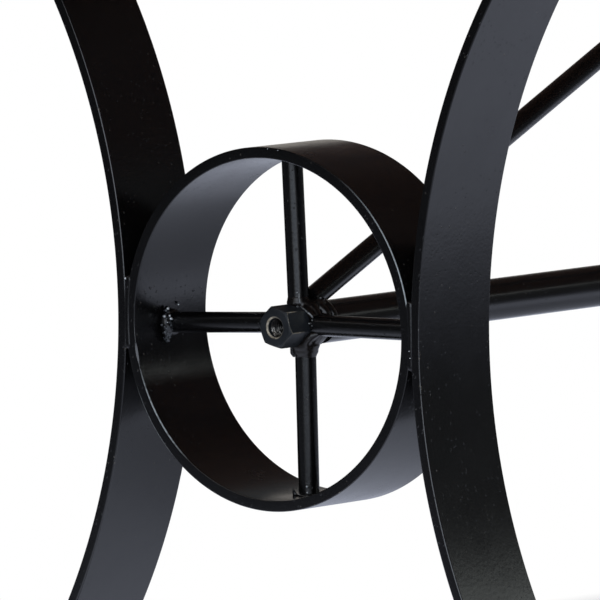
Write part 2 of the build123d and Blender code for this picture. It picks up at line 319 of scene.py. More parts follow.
def bar_hoop(name, radius, centre, sides, corner=BAR_CORNER, wide=1.0, tall=1.0):
    """The flat bar, bent round nearly a full circle with its corners eased."""
    bpy.ops.mesh.primitive_cylinder_add(
        vertices=sides, radius=radius, depth=BAR_WIDTH, end_fill_type="NOTHING",
        location=HUB + Vector((centre[0], 0, centre[1])), rotation=(pi / 2, 0, 0), scale=(wide, tall, 1))
    hoop = settle(named(name))
    apply(hoop, "SOLIDIFY", thickness=BAR_THICKNESS, offset=-1)
    ease(hoop, corner)
    return hoop


def ease(bar, corner=BAR_CORNER):
    """Rounds the corners of the bar. Their faces take the second finish, which is chipped and carries painted
    highlights on the wheel.
    """
    bar.data.materials.append(IRON)
    bar.data.materials.append(IRON_EDGE)
    chamfer(bar, corner, 50, 3, material=1)


def wheel_rim():
    """The hoop. It was bent by hand, so it isn't quite round, and a grinder has touched its inner corner."""
    rim = bar_hoop("front_rim", RIM_OUTSIDE, RIM_SET, RIM_SIDES, RIM_CORNER, *RIM_BENT)
    turn = radians(GROUND_AT)
    across = Vector((cos(turn), 0, sin(turn)))
    corner = HUB - across * RIM_INSIDE - ALONG * (BAR_WIDTH / 2)
    inward = (across - ALONG).normalized()
    half_width = (across + ALONG).normalized() * 0.003
    middle = corner + inward * (GRINDER_RADIUS - GROUND_DEPTH)
    carve(rim, round_bar("grinder", middle - half_width, middle + half_width, GRINDER_RADIUS, 256))
    for face in rim.data.polygons:
        if face.normal.dot(inward) > 0.95 and (face.center - corner).length < 0.012:
            face.material_index = 1
    return smooth_bend(rim)


def smooth_bend(bar):
    """Shades a bent bar, with its flat faces leading the shading."""
    smooth(bar)
    apply(bar, "WEIGHTED_NORMAL", keep_sharp=True)
    return bar


def leg_arc(name, side):
    """One leg. Side -1 stands at -X. It is cut flat on the rails, and the far side of the hoop is thrown away."""
    shift, rise = ARC_SET[side]
    centre = side * (RIM_OUTSIDE + ARC_RADIUS) + shift
    arc = bar_hoop(name, ARC_RADIUS, (centre, rise), ARC_SIDES)
    saw(arc, (centre, 0, 0), (side, 0, 0))
    saw(arc, (0, 0, TOP_RAIL_BOTTOM), (0, 0, 1))
    saw(arc, (0, 0, FOOT_RAIL_TOP), (0, 0, -1))
    return smooth_bend(arc)


def straight_bar(name, middle, length_x, length_y, bottom, holes=()):
    """A length of the flat bar, lying flat, with its holes drilled: (x, y, radius)."""
    half = Vector((length_x / 2, length_y / 2, 0))
    middle = Vector((*middle, bottom))
    bar = block(name, middle - half, middle + half + UP * BAR_THICKNESS)
    for x, y, radius in holes:
        carve(bar, upright("drill", bottom - 0.001, bottom + BAR_THICKNESS + 0.001, radius, 32, (x, y)))
    ease(bar)
    return smooth(bar)


# ---- Hub

def spoke_line(name):
    """Where a spoke's axis passes the hub, and its direction."""
    angle, offset = SPOKE_SET[name]
    turn = radians(angle)
    return HUB + Vector((-sin(turn), 0, cos(turn))) * offset, Vector((cos(turn), 0, sin(turn)))


def spoke(name):
    """A round bar from the hub to the rim."""
    start, along = spoke_line(name)
    return smooth(round_bar(f"front_spoke_{name}_bar", start + along * SPOKE_ROOT,
                            start + along * (RIM_INSIDE + SPOKE_BITE), SPOKE_RADIUS))


def hub_nut():
    """A coupling nut: a hexagon, chamfered at both ends, bored and countersunk, with its corners rubbed bare."""
    nut = hexagon("front_nut", NUT_FLATS, 0, NUT_LENGTH, NUT_FACE_RADIUS)
    chamfer(nut, 0.0003, 20)
    carve(nut, upright("drill", -0.01, 0.05, NUT_BORE, 64))
    for end, turn in ((0, 0), (NUT_LENGTH, pi)):
        bpy.ops.mesh.primitive_cone_add(vertices=64, radius1=NUT_SINK * 1.2, radius2=NUT_SINK * 0.8,
                                        depth=NUT_SINK * 0.4, location=(0, 0, end), rotation=(turn, 0, 0))
        carve(nut, settle(named("sink")))
    smooth(nut, 30)
    place_at(nut, (0, 0, 0), (-pi / 2, 0, 0))
    return place_at(nut, NUT_PLACE - ALONG * (NUT_LENGTH / 2), (0, -NUT_TURN, 0))


def hub_thread():
    """The thread in the nut's bore."""
    ridge = thread("front_nut_thread", NUT_THREAD_ROOT, NUT_THREAD_CREST, NUT_PITCH, 17)
    return place_at(ridge, NUT_PLACE - ALONG * (NUT_LENGTH / 2 - NUT_THREAD_START), (-pi / 2, 0, 0))


def stretcher():
    """The tube from hub to hub."""
    middle, reach = UP * (HUB_HEIGHT + TUBE_LIFT), ALONG * (WHEEL_Y - TUBE_END)
    return smooth(round_bar("stretcher", middle - reach, middle + reach, TUBE_RADIUS, 72))


def brace():
    """The rod that rises from the hub to the plate under the top."""
    low = HUB + UP * (NUT_FLATS / 2)
    high = Vector((0, -BRACE_LANDING, TOP_RAIL_BOTTOM))
    along = (high - low).normalized()
    rod = round_bar("front_brace_rod", low - along * 0.012, high + along * 0.03, BRACE_RADIUS)
    saw(rod, (0, -WHEEL_Y + SPOKE_RADIUS, 0), -ALONG)
    saw(rod, (0, 0, TOP_RAIL_BOTTOM + 0.001), UP)
    saw(rod, HUB + UP * BRACE_FOOT, -UP)
    return smooth(rod)


# ---- Weld beads, laid drop by drop and then melted together

def run(points, sizes, seed, step=0.6, wander=0.1, spread=0.06):
    """Drops along a run of points, in millimetres: (place, size) pairs. The sizes are spread along the run."""
    chance = random.Random(seed)
    points = [Vector(point) for point in points]
    legs = [(b - a).length for a, b in zip(points, points[1:])]
    count = max(2, round(sum(legs) / step))
    drops = []
    for i in range(count + 1):
        distance = sum(legs) * i / count
        for a, b, leg in zip(points, points[1:], legs):
            if distance <= leg + 1e-9:
                break
            distance -= leg
        shift = Vector([chance.uniform(-wander, wander) for _ in range(3)])
        along = (len(sizes) - 1) * i / count
        first = min(int(along), len(sizes) - 2)
        size = sizes[first] + (sizes[first + 1] - sizes[first]) * (along - first)
        drops.append((a.lerp(b, min(1.0, distance / leg)) + shift, size * chance.uniform(1 - spread, 1 + spread)))
    return drops


def runs(*rows):
    """Several runs, one after another."""
    return [drop for row in rows for drop in run(*row)]


def ring(spoke_name, reach, radius, size, seed):
    """A run round a spoke, this far from the hub."""
    begin, along = spoke_line(spoke_name)
    middle = (begin - HUB) / MM + along * reach
    aside = ALONG.cross(along)
    turns = [radians(15 * i) for i in range(25)]
    return run([middle + (ALONG * cos(turn) + aside * sin(turn)) * radius for turn in turns], (size, size), seed)


def rings(*rows):
    """Several rings, one after another."""
    return [drop for row in rows for drop in ring(*row)]


def dots(*rows):
    """Single drops: (x, y, z, size)."""
    return [(Vector(place), size) for *place, size in rows]


def lay(name, drops, grain, soften):
    """Melts drops into one bead. The drops' places are from the hub, and they and the grain are in millimetres."""
    bead = None
    for place, size in drops:
        bpy.ops.mesh.primitive_ico_sphere_add(subdivisions=2, radius=size * MM, location=HUB + place * MM)
        if not bead:
            bead = settle(named(name))
            bpy.ops.object.mode_set(mode="EDIT")
    close()
    apply(bead, "REMESH", mode="VOXEL", voxel_size=grain * MM)
    apply(bead, "SMOOTH", factor=0.5, iterations=soften)
    alone(bead)
    bpy.ops.object.shade_smooth()
    return bead


def hub_fillets():
    """The thick smooth welds that fill the corners between spokes, nut, brace and tube."""
    drops = rings(("top", 10.2, 3.7, 1.9, 1), ("top", 12.2, 3.9, 1.2, 2), ("bottom", 9.0, 4.2, 2.5, 3),
                  ("bottom", 11.6, 4.0, 1.9, 4), ("bottom", 14.0, 4.2, 0.8, 5), ("left", 9.6, 3.6, 1.4, 7))
    drops += runs(
        # the corner between the top spoke and the right spoke, back to the tube
        (((2.6, 0.4, 9.4), (5.2, 0.6, 7.9), (7.4, 0.8, 5.6), (8.8, 0.6, 4.2)), (2.4, 2.6, 1.9), 8),
        (((2.4, 5.0, 9.6), (5.4, 6.0, 7.8), (8.0, 7.0, 5.4), (9.2, 7.0, 2.6)), (2.4, 2.4, 1.9), 9),
        (((3.0, 10.0, 9.6), (6.2, 11.0, 7.4), (8.4, 12.0, 4.2)), (2.2, 2.4, 2.0), 10),
        (((8.4, 3.0, 3.4), (9.4, 8.0, 2.4), (9.0, 14.0, 1.6)), (2.0, 1.6, 1.0), 11),
        (((2.4, -1.9, 8.3), (5.4, -3.0, 6.6), (8.0, -2.8, 4.6)), (1.4, 1.9, 1.5), 35),
        # the front of the corner between the bottom spoke and the right spoke
        (((2.0, -3.4, -12.1), (3.7, -3.8, -9.2), (6.1, -3.9, -6.0), (7.9, -3.1, -4.0), (11.2, -1.9, -3.1)),
         (1.0, 1.8, 2.2, 2.0, 1.0), 36))
    # the sides and the heel of the brace's foot
    for side in (1, -1):
        drops += run(((side * 4.4, 4.0, 9.8), (side * 4.3, 7.5, 10.2), (side * 3.2, 11.0, 10.6), (0, 15.2, 10.6)),
                     (1.9, 1.8, 1.9), 12 + side)
    # the web under the right spoke, from the bottom spoke back to the tube
    for back, size in ((-0.8, 2.2), (1.4, 2.3), (3.4, 2.0), (5.2, 1.6)):
        drops += run(((3.4, back, -8.6), (5.2, back + 0.3, -7.0), (7.2, back + 0.6, -5.2), (9.2, back + 1.0, -3.2)),
                     (size, size * 1.05, size, size * 0.7), 15 + int(back))
    drops += run(((0.2, 5.0, -8.4), (0.2, 12.0, -8.2)), (2.0, 1.6), 18)
    return lay("front_hub_fillets", drops, grain=0.45, soften=14)


def hub_ripples():
    """The sharper beads on top of the fillets."""
    return lay("front_hub_ripples", runs(
        (((4.3, 6.6, 10.7), (4.8, 7.6, 11.2), (5.4, 8.6, 11.6)), (0.9, 1.0, 0.8), 28, 0.9, 0.25),
        (((8.4, -4.2, 1.9), (9.0, -3.2, 3.0)), (0.8, 0.8), 26, 0.9, 0.2),
        (((9.3, -1.6, 1.0), (10.2, -1.2, 4.0)), (0.8, 0.7), 27, 0.9, 0.2),
        # three drips beside each other on the bottom spoke's root
        (((-3.0, -2.6, -10.4), (-3.6, -2.4, -12.4), (-3.2, -2.2, -13.8)), (1.6, 1.4, 0.7), 31),
        (((0.6, -4.2, -9.6), (0.9, -4.2, -12.0), (1.4, -3.9, -14.6)), (1.3, 1.2, 0.4), 32),
        (((4.4, -2.6, -9.2), (4.2, -3.0, -11.4), (4.4, -2.6, -14.4)), (1.8, 1.3, 0.4), 33)), grain=0.25, soften=3)


def hub_toes():
    """The thin toes along the fillets, and single drops beside them, painted bright as highlights."""
    drops = runs(
        (((1.25, -3.6, 14.6), (1.4, -3.9, 12.6), (1.95, -4.0, 10.7)), (0.34, 0.42, 0.34), 21, 0.3, 0.04),
        (((1.6, -3.1, 8.9), (4.8, -4.6, 7.9), (7.2, -4.9, 6.6), (8.8, -4.2, 5.3), (9.0, -3.6, 4.3)),
         (0.36, 0.44, 0.38), 24, 0.3, 0.06),
        (((4.9, 8.8, 7.9), (6.2, 9.2, 6.6), (7.3, 9.4, 5.2)), (0.40, 0.45, 0.36), 30, 0.3, 0.06))
    drops += dots((0.54, -4.3, 15.2, 0.55), (1.3, -5.0, 8.8, 0.6), (8.4, -5.4, 1.8, 0.45), (9.5, -4.6, 3.2, 0.4),
                  (9.4, -4.6, 0.7, 0.4), (5.2, 6.6, 12.1, 0.5), (4.2, 5.7, 11.6, 0.45))
    return lay("front_hub_toes", drops, grain=0.2, soften=1)


def rim_beads():
    """Where the spokes meet the rim. The left one is a rough mound, and the others are neat."""
    edge = RIM_INSIDE / MM
    drops = rings(("top", edge - 0.6, 4.6, 1.0, 41), ("right", edge - 0.4, 4.9, 1.5, 42),
                  ("bottom", edge - 0.6, 4.8, 1.4, 43), ("left", edge - 0.6, 4.6, 1.6, 44))
    drops += run(((-2.4, -3.4, -76.2), (-2.6, -4.6, -73.6)), (1.2, 0.5), 45)
    mound = ((-76.9, -4.0, 4.2), (-76.1, -5.4, 0.4), (-75.7, -5.8, -4.0), (-76.1, -5.0, -8.0), (-76.9, -3.9, -11.4))
    drops += run(mound, (0.7, 2.1, 3.0, 2.2, 0.7), 46)
    return lay("front_rim_beads", drops, grain=0.35, soften=4)


def rim_spatter():
    """The rough skin of the mound at the left spoke, and stray drops near it."""
    chance = random.Random(51)
    middle, reach, half_width = Vector((-76.2, -5.6, -4.3)), 2.9, 3.3
    drops = []
    for _ in range(110):
        rise = chance.uniform(-7.0, 7.6)
        narrow = (1.0 - abs(rise) / 8.6) ** 0.6
        across = chance.uniform(-1, 1)
        out = narrow * reach * (1 - across**2) ** 0.5 + chance.uniform(-0.15, 0.15)
        drops.append((middle + Vector((out, across * narrow * half_width, rise)), chance.uniform(0.35, 0.75)))
    drops += dots((-77.2, 4.6, 5.4, 0.7), (-77.4, 15.6, 9.8, 0.5), (-77.4, 12.6, 12.9, 0.4),
                  (-77.3, 2.6, 1.2, 0.6), (-77.4, 9.0, 16.2, 0.3))
    drops += run(((-77.0, -6.2, -9.6), (-77.0, -3.9, -11.8), (-77.0, -1.2, -9.0)), (0.35, 0.5, 0.4), 52, 0.35, 0.05)
    return lay("front_rim_spatter", drops, grain=0.2, soften=1)


def glint_specks():
    """Specks on the welds, painted pale as glints: painted highlights where the light catches the weld."""
    return lay("front_bare_specks", dots(
        (-74.2, -6.2, 3.8, 0.66), (-74.0, -8.9, 0.5, 0.66), (-73.0, -6.4, 0.6, 0.55), (-72.9, -5.6, -0.8, 0.70),
        (-73.0, -4.0, -1.2, 0.60), (-73.6, -7.4, -2.4, 0.30), (-77.2, 4.6, 4.6, 0.45), (-83.2, -24.9, 18.6, 0.60),
        (1.5, -24.8, 81.2, 0.35), (7.4, -24.8, 80.8, 0.35), (82.6, -25.6, -4.5, 0.34), (83.1, -25.6, -7.6, 0.32),
        (5.6, -4.6, -72.0, 0.55), (5.8, -4.6, -74.6, 0.45)), grain=0.2, soften=1)


def seam_beads():
    """The smooth runs that close the gaps between the rim and the arcs, flush with the bars' edges."""
    drops = []
    rim, arc = RIM_OUTSIDE / MM, ARC_RADIUS / MM
    bottom, face, steps = -11.8, 25.6, 16
    for side, top in ((-1, 18.0), (1, 15.6)):
        for edge in (-1, 1):
            for layer in (0.0, 1.6):
                points, sizes = [], []
                for step in range(steps + 1):
                    height = bottom + (top - bottom) * step / steps
                    apart = height**2 / 2 * (1 / arc + 1 / rim)
                    middle = side * (rim + height**2 / 4 * (1 / arc - 1 / rim))
                    sizes.append(1.70 + apart * 0.42)
                    points.append((middle, edge * (face - sizes[-1] - layer), height))
                drops += run(points, sizes, 60 + side + 3 * edge, 0.3, 0, 0)
            x, _, z = points[-1]
            tail = ((x, edge * 24.2, z + 0.5), (x - side * 0.4, edge * 24.0, z + 1.5))
            drops += run(tail, (1.1, 0.8), 70 + side, 0.4)
    return lay("front_seam_beads", drops, grain=0.3, soften=14)


def rail_beads():
    """The fillets between the arcs' ends and the rails, the brace and its plate, and round the feet's nuts."""
    drops = []
    chance = random.Random(81)
    half_width, rail = 23, (TOP_RAIL_BOTTOM - HUB_HEIGHT) / MM
    for side in (-1, 1):
        for end in (1, -1):
            for reach, size in ((ARC_END / MM - 1.0, 2.2), (ARC_END / MM + 8.5, 2.4)):
                points = [(side * reach, y, end * (rail - 0.9)) for y in range(-half_width, half_width + 1, 2)]
                drops += run(points, [size * chance.uniform(0.85, 1.1) for _ in points], 82, 1.6, 0.2)
        for turn in map(radians, range(0, 360, 15)):
            place = Vector((side * FOOT_X / MM + 7.6 * cos(turn), 7.6 * sin(turn), 0.5 - rail))
            drops.append((place, 1.3 * chance.uniform(0.85, 1.15)))
    landing = (WHEEL_Y - BRACE_LANDING) / MM - 2.0
    points = [(5.2 * cos(turn), landing + 11.6 * sin(turn), rail - 0.7) for turn in map(radians, range(0, 361, 20))]
    drops += run(points, (1.9, 2.2, 1.9), 84, 1.2, 0.2)
    return lay("front_rail_beads", drops, grain=0.7, soften=4)


# ---- Levelling feet, modelled on the origin

def foot_stem():
    """The screw: a spigot, a spanner collar, and the thread above it."""
    stem = upright("foot_screw", PAD_TOP + 0.001, STEM_TOP, STEM_ROOT)
    round_end(stem, 1, 0.0008, 2)
    spigot = upright("spigot", PAD_SOCKET, PAD_TOP + 0.001, STEM_RADIUS)
    collar = hexagon("collar", HEX_FLATS, PAD_TOP, FOOT_RAIL_BOTTOM - 0.00005, HEX_FACE_RADIUS)
    chamfer(collar, 0.0002, 22)
    ridge = thread("ridge", STEM_ROOT - 0.0001, STEM_RADIUS, STEM_PITCH, 17)
    place_at(ridge, (0, 0, FOOT_RAIL_BOTTOM + 0.0008))
    return smooth(join(stem, spigot, collar, ridge), 30)


def foot_pad():
    """The glide: a moulded disc with rounded edges, a dished top and a boss round the screw's socket."""
    pad = upright("glide", 0, PAD_THICKNESS, PAD_RADIUS, 96)
    round_end(pad, 1, 0.0012, 4)
    round_end(pad, -1, 0.0008, 3)
    pick(pad, lambda place, normal: normal.z > 0.999)
    bpy.ops.mesh.inset(thickness=0.0058, depth=-0.0003)
    bpy.ops.mesh.inset(thickness=0.0008, depth=0.0023)
    close()
    carve(pad, upright("drill", PAD_SOCKET, 0.01, STEM_RADIUS + 0.00005))
    return smooth(pad, 30)


def weld_nut():
    """The seat that is welded on the foot rail."""
    nut = hexagon("foot_nut", HEX_FLATS, FOOT_RAIL_TOP, WELD_NUT_TOP, HEX_FACE_RADIUS, both=False)
    carve(nut, upright("drill", 0, 0.05, STEM_RADIUS + 0.0001))
    chamfer(nut, 0.0003, 22)
    return smooth(nut, 30)


# ---- Plank top

def board(name, low, high, grain):
    """A sawn board with rounded long edges and a hand-planed, uneven skin. Its grain runs along X (0) or Y (1)."""
    piece = block(name, low, high)
    pick(piece, lambda place, along: abs(along[grain]) > 0.9, "EDGE")
    bpy.ops.mesh.bevel(offset=PLANK_CORNER, segments=3, profile=0.5)
    close()
    for axis in (grain, 1 - grain):
        pick(piece, lambda place, along: abs(along[axis]) > 0.9, "EDGE")
        bpy.ops.mesh.subdivide(number_cuts=int((high[axis] - low[axis]) / PLANE_STROKE))
        close()
    apply(piece, "DISPLACE", texture=PLANE_MARKS, strength=PLANE_DEPTH, mid_level=1.0, texture_coords="LOCAL")
    return smooth(piece, 40)


def peg(name, x, y):
    """The end of a whittled peg, showing in the top."""
    piece = upright(name, TABLE_TOP - 0.004, TABLE_TOP - 0.0001, PEG_RADIUS, 14, (x, y))
    round_end(piece, 1, 0.0006, 2)
    return smooth(piece, 30)


def screw_head():
    """A pan head with a cross recess, upside down under the rail."""
    low = SCREW_SEAT - SCREW_HEAD_HEIGHT
    piece = upright("screw_pattern", low, SCREW_SEAT, SCREW_HEAD_RADIUS)
    round_end(piece, -1, 0.0016, 4)
    for turn in (pi / 4, -pi / 4):
        bpy.ops.mesh.primitive_cube_add(size=1, location=(0, 0, low), rotation=(0, 0, turn), scale=SCREW_RECESS)
        carve(piece, settle(named("cut")))
    return smooth(piece, 30)


def washer():
    """A flat ring under the screw's head."""
    piece = upright("washer_pattern", SCREW_SEAT, TOP_RAIL_BOTTOM, WASHER_RADIUS)
    chamfer(piece, 0.0003, 50)
    return smooth(piece, 30)


# ---- Finishes

def add_node(tree, kind, settings=None, **inputs):
    """Adds a node. An input is named, or numbered as in _0, and takes a value or another node's output."""
    node = tree.nodes.new("ShaderNode" + kind)
    for setting, value in (settings or {}).items():
        setattr(node, setting, value)
    for name, value in inputs.items():
        socket = node.inputs[int(name[1:]) if name[0] == "_" else name.replace("_", " ")]
        if isinstance(value, bpy.types.NodeSocket):
            tree.links.new(value, socket)
        else:
            socket.default_value = value
    return node


class Finish:
    """One finish being mixed: a material, the patterns in it and its shader."""

    def __init__(self, name, **sockets):
        self.material = bpy.data.materials.new(name)
        self.material.use_nodes = True
        self.tree = self.material.node_tree
        self.shader = self.tree.nodes["Principled BSDF"]
        for socket, value in sockets.items():
            self.shader.inputs[socket].default_value = value
        self.place = self.add("TexCoord").outputs["Object"]

    def add(self, kind, settings=None, **inputs):
        return add_node(self.tree, kind, settings, **inputs)

    def moved(self, scale=(1, 1, 1), move=(0, 0, 0), place=None):
        """The place on the piece, drawn out along some axes and then moved."""
        return self.add("Mapping", Vector=place or self.place, Scale=scale, Location=move).outputs["Vector"]

    def noise(self, scale, detail, rough=0.5, place=None):
        """Clouds. A scale of three numbers draws them out along some axes."""
        if isinstance(scale, tuple):
            place, scale = self.moved(scale), 1.0
        return self.add("TexNoise", Vector=place or self.place, Scale=scale, Detail=detail,
                        Roughness=rough).outputs["Fac"]

    def clouds(self, noise, *stops):
        """Clouds in greys or colours. The noise is its scale, detail and roughness."""
        return self.ramp(self.noise(*noise), *stops)

    def cells(self, scale, place=None):
        """Distance to the middle of the nearest of many scattered cells."""
        return self.add("TexVoronoi", Vector=place or self.place, Scale=scale).outputs["Distance"]

    def ramp(self, source, *stops):
        """Turns a number into colours. Each stop is (place, grey or colour)."""
        node = self.add("ValToRGB", Fac=source)
        while len(node.color_ramp.elements) < len(stops):
            node.color_ramp.elements.new(0.5)
        for element, (place, colour) in zip(node.color_ramp.elements, stops):
            element.position = place
            element.color = (*colour, 1) if isinstance(colour, tuple) else (colour, colour, colour, 1)
        return node.outputs["Color"]

    def by_length(self, source, reach, *stops):
        """Turns a length into greys. The reach of the ramp and its stops' places are in millimetres."""
        return self.ramp(self.times(source, 1 / (reach * MM)), *((place / reach, grey) for place, grey in stops))

    def sum(self, how, first, second=0.0):
        return self.add("Math", {"operation": how}, _0=first, _1=second).outputs[0]

    def times(self, product, *others):
        for other in others:
            product = self.sum("MULTIPLY", product, other)
        return product

    def vector(self, how, first, second=(0, 0, 0)):
        """Works with places. A length and a dot product are numbers, and the rest are places again."""
        node = self.add("VectorMath", {"operation": how}, _0=first, _1=second)
        return node.outputs["Value" if how in ("LENGTH", "DOT_PRODUCT") else "Vector"]

    def blend(self, factor, first, second):
        """Mixes two colours."""
        first, second = ((*value, 1) if isinstance(value, tuple) else value for value in (first, second))
        return self.add("Mix", {"data_type": "RGBA"}, _0=factor, _6=first, _7=second).outputs[2]

    def done(self, colour, gloss, *bumps, metal=None):
        """Connects the shader. Bumps come finest first: (height, depth in metres, strength)."""
        normal = None
        for height, depth, strength in bumps:
            bump = self.add("Bump", Height=height, Distance=depth, Strength=strength)
            if normal:
                self.tree.links.new(normal, bump.inputs["Normal"])
            normal = bump.outputs["Normal"]
        for socket, source in (("Base Color", colour), ("Roughness", gloss), ("Normal", normal), ("Metallic", metal)):
            if source:
                self.tree.links.new(source, self.shader.inputs[socket])
        return self.material


def plain_finish(name, tone, gloss, grain, patches=None, **sockets):
    """A finish with nothing special in it.

    Tone and gloss are each a noise and the stops of its ramp. Patches are the same, and then their colour. The
    grain is the bumps: (noise, depth in metres, strength).
    """
    mix = Finish(name, **sockets)
    colour = mix.clouds(*tone)
    if patches:
        colour = mix.blend(mix.clouds(*patches[:-1]), colour, patches[-1])
    bumps = [(mix.noise(*noise), depth, strength) for noise, depth, strength in grain]
    return mix.done(colour, mix.clouds(*gloss), *bumps)


def black_paint(name, rough=0.22, peel=0.30, tone=(0.0024, 0.0022, 0.0023), worn_and_highlit=False):
    """Black paint, brushed thick over the iron: smooth and satin, with a little dust and a few pits in it."""
    mix = Finish(name, IOR=1.65 if worn_and_highlit else 1.5)
    dust = mix.times(mix.ramp(mix.cells(230), (0.07, 1.0), (0.11, 0.0)),
                     mix.clouds((40, 2), (0.50, 0.0), (0.60, 1.0)))
    pits = mix.times(mix.ramp(mix.cells(330), (0.10, 1.0), (0.17, 0.0)),
                     mix.ramp(mix.noise(33, 2, place=mix.moved(move=(7, 3, 5))), (0.47, 0.0), (0.56, 1.0)))
    film = mix.clouds((16, 4), (0.35, tone), (0.70, tuple(part * 1.6 for part in tone)))
    film = mix.blend(dust, film, (0.055, 0.048, 0.038))
    if worn_and_highlit:
        film = wear_and_painted_highlights(mix, film)
    gloss = mix.clouds((26, 5, 0.6), (0.30, rough * 0.82), (0.72, rough * 1.28))
    return mix.done(film, gloss, (mix.noise(620, 2), 0.0001, peel), (pits, 0.0004, 0.5), (dust, -0.0003, 0.45),
                    (mix.noise(75, 3), 0.0005, 0.16))


def wear_and_painted_highlights(mix, film):
    """Chips the paint, and paints two pale bands on the wheel's corners as highlights. Only the bars' corners have
    this finish.
    """
    chipped = mix.clouds((190, 5, 0.6), (0.656, 0.0), (0.696, 1.0))
    film = mix.blend(chipped, film, (0.10, 0.085, 0.065))
    # a pale band on the wheel's inner edge, low on the left: a painted highlight, broken up by clouds
    reach = mix.vector("LENGTH", mix.moved(move=(0.0500, WHEEL_Y + BAR_WIDTH / 2, 0.034 - HUB_HEIGHT)))
    inner = mix.times(mix.by_length(reach, 100, (18, 1.0), (28, 0.0)),
                      mix.clouds((420, 4), (0.34, 0.3), (0.5, 1.0)))
    # and a pale line along its outer corner, high on the right: a painted highlight too
    centre = mix.moved((1, 0, 1), (0, 0, -HUB_HEIGHT))
    parts = mix.add("SeparateXYZ", Vector=centre).outputs
    outside = mix.by_length(mix.vector("LENGTH", centre), 100, (81.5, 0.0), (81.9, 1.0), (82.9, 1.0), (83.3, 0.0))
    outer = mix.times(outside, mix.by_length(parts[0], 100, (42, 0.0), (62, 1.0)),
                      mix.by_length(parts[2], 100, (6, 0.0), (12, 1.0)))
    # both bands take this pale blue-grey, which is painted highlight; only the chips above are wear
    return mix.blend(mix.sum("MAXIMUM", inner, outer), film, (0.40, 0.43, 0.43))


def off_axis(mix):
    """Where a place is from the axis of its nut, seen from outside: its own parts, the way out to it, and how far."""
    parts = mix.add("SeparateXYZ", Vector=mix.place).outputs
    end = mix.sum("SIGN", parts[1])
    aside = mix.sum("SUBTRACT", mix.times(parts[0], mix.times(end, -1)), NUT_PLACE.x)
    centre = mix.add("CombineXYZ", _0=aside, _2=mix.sum("SUBTRACT", parts[2], NUT_PLACE.z)).outputs[0]
    return parts, centre, mix.vector("LENGTH", centre)


def towards(mix, centre, reach, angle):
    """1.0 for places straight out at an angle round the axis, 0.5 for those at right angles to it, 0.0 opposite."""
    out = mix.vector("DOT_PRODUCT", centre, (cos(radians(angle)), 0, sin(radians(angle))))
    return mix.sum("ADD", mix.times(mix.sum("DIVIDE", out, reach), 0.5), 0.5)


def hub_paint():
    """Thin grey-black paint on the nut, rubbed down to brown steel along the edges, fully on one side only, and round
    the thread, where the bare ring is painted paler towards its lower left as a highlight.
    """
    mix = Finish("hub_nut_paint", IOR=1.34)
    parts, centre, reach = off_axis(mix)
    # the ring of bare steel round the bore is wear; its fading to the lower left is a painted highlight
    near_bore = mix.times(mix.by_length(reach, 10, (4.32, 0.0), (4.45, 1.0), (4.9, 1.0), (5.2, 0.0)),
                          mix.ramp(towards(mix, centre, reach, 205), (0.05, 0.15), (0.62, 1.0)))
    # how far out a place is, square to the nearest flat
    out = 0.0
    for turn in (NUT_TURN + radians(angle) for angle in (30, 90, 150)):
        square = mix.vector("DOT_PRODUCT", centre, (cos(turn), 0, sin(turn)))
        out = mix.sum("MAXIMUM", out, mix.sum("ABSOLUTE", square))
    # how deep it lies from the nearer end, and from the cone to which the corners there are turned off
    along = mix.sum("ABSOLUTE", mix.sum("ADD", mix.sum("ABSOLUTE", parts[1]), NUT_PLACE.y))
    depth = mix.sum("SUBTRACT", NUT_LENGTH / 2, along)
    past = mix.sum("SUBTRACT", depth, mix.times(mix.sum("SUBTRACT", reach, NUT_FACE_RADIUS), tan(radians(30))))
    corners = mix.times(mix.by_length(reach, 10, (9.60, 0.0), (9.70, 1.0)),
                        mix.by_length(depth, 10, (5.0, 1.0), (10.0, 0.0)))
    curve = mix.times(mix.by_length(out, 10, (8.34, 0.0), (8.40, 1.0)),
                      mix.by_length(past, 1, (0.14, 1.0), (0.26, 0.0)),
                      mix.by_length(depth, 1, (0.02, 0.0), (0.05, 1.0)))
    rubbed = mix.clouds((135, 5, 0.65), (0.44, 0.08), (0.56, 0.85))
    # the rubbed lines show fully only on the side of the nut that faces right and a little up
    facing_side = mix.ramp(towards(mix, centre, reach, 30 + degrees(NUT_TURN)), (0.905, 0.12), (0.925, 1.0))
    shown = mix.sum("MAXIMUM", mix.times(mix.sum("MAXIMUM", corners, curve), rubbed, facing_side),
                    mix.times(near_bore, mix.clouds((300, 4), (0.30, 0.25), (0.5, 1.0))))
    scratches = mix.clouds(((900, 120, 900), 4, 0.6), (0.62, 0.0), (0.72, 1.0))
    film = mix.clouds((170, 4), (0.35, (0.0140, 0.0162, 0.0190)), (0.70, (0.0215, 0.0245, 0.0285)))
    film = mix.blend(mix.times(scratches, 0.35), film, (0.05, 0.042, 0.032))
    # brown bare steel, shown by the rubbed edges and by the bore ring's painted highlight
    bare_and_glint = mix.clouds((420, 3), (0.35, (0.26, 0.21, 0.14)), (0.65, (0.60, 0.53, 0.42)))
    return mix.done(mix.blend(shown, film, bare_and_glint), mix.clouds((220, 4), (0.3, 0.32), (0.7, 0.46)),
                    (mix.noise(1500, 3), 0.00006, 0.25), (scratches, -0.0001, 0.25),
                    (mix.noise(300, 3), 0.0002, 0.25), metal=mix.times(shown, 0.25))


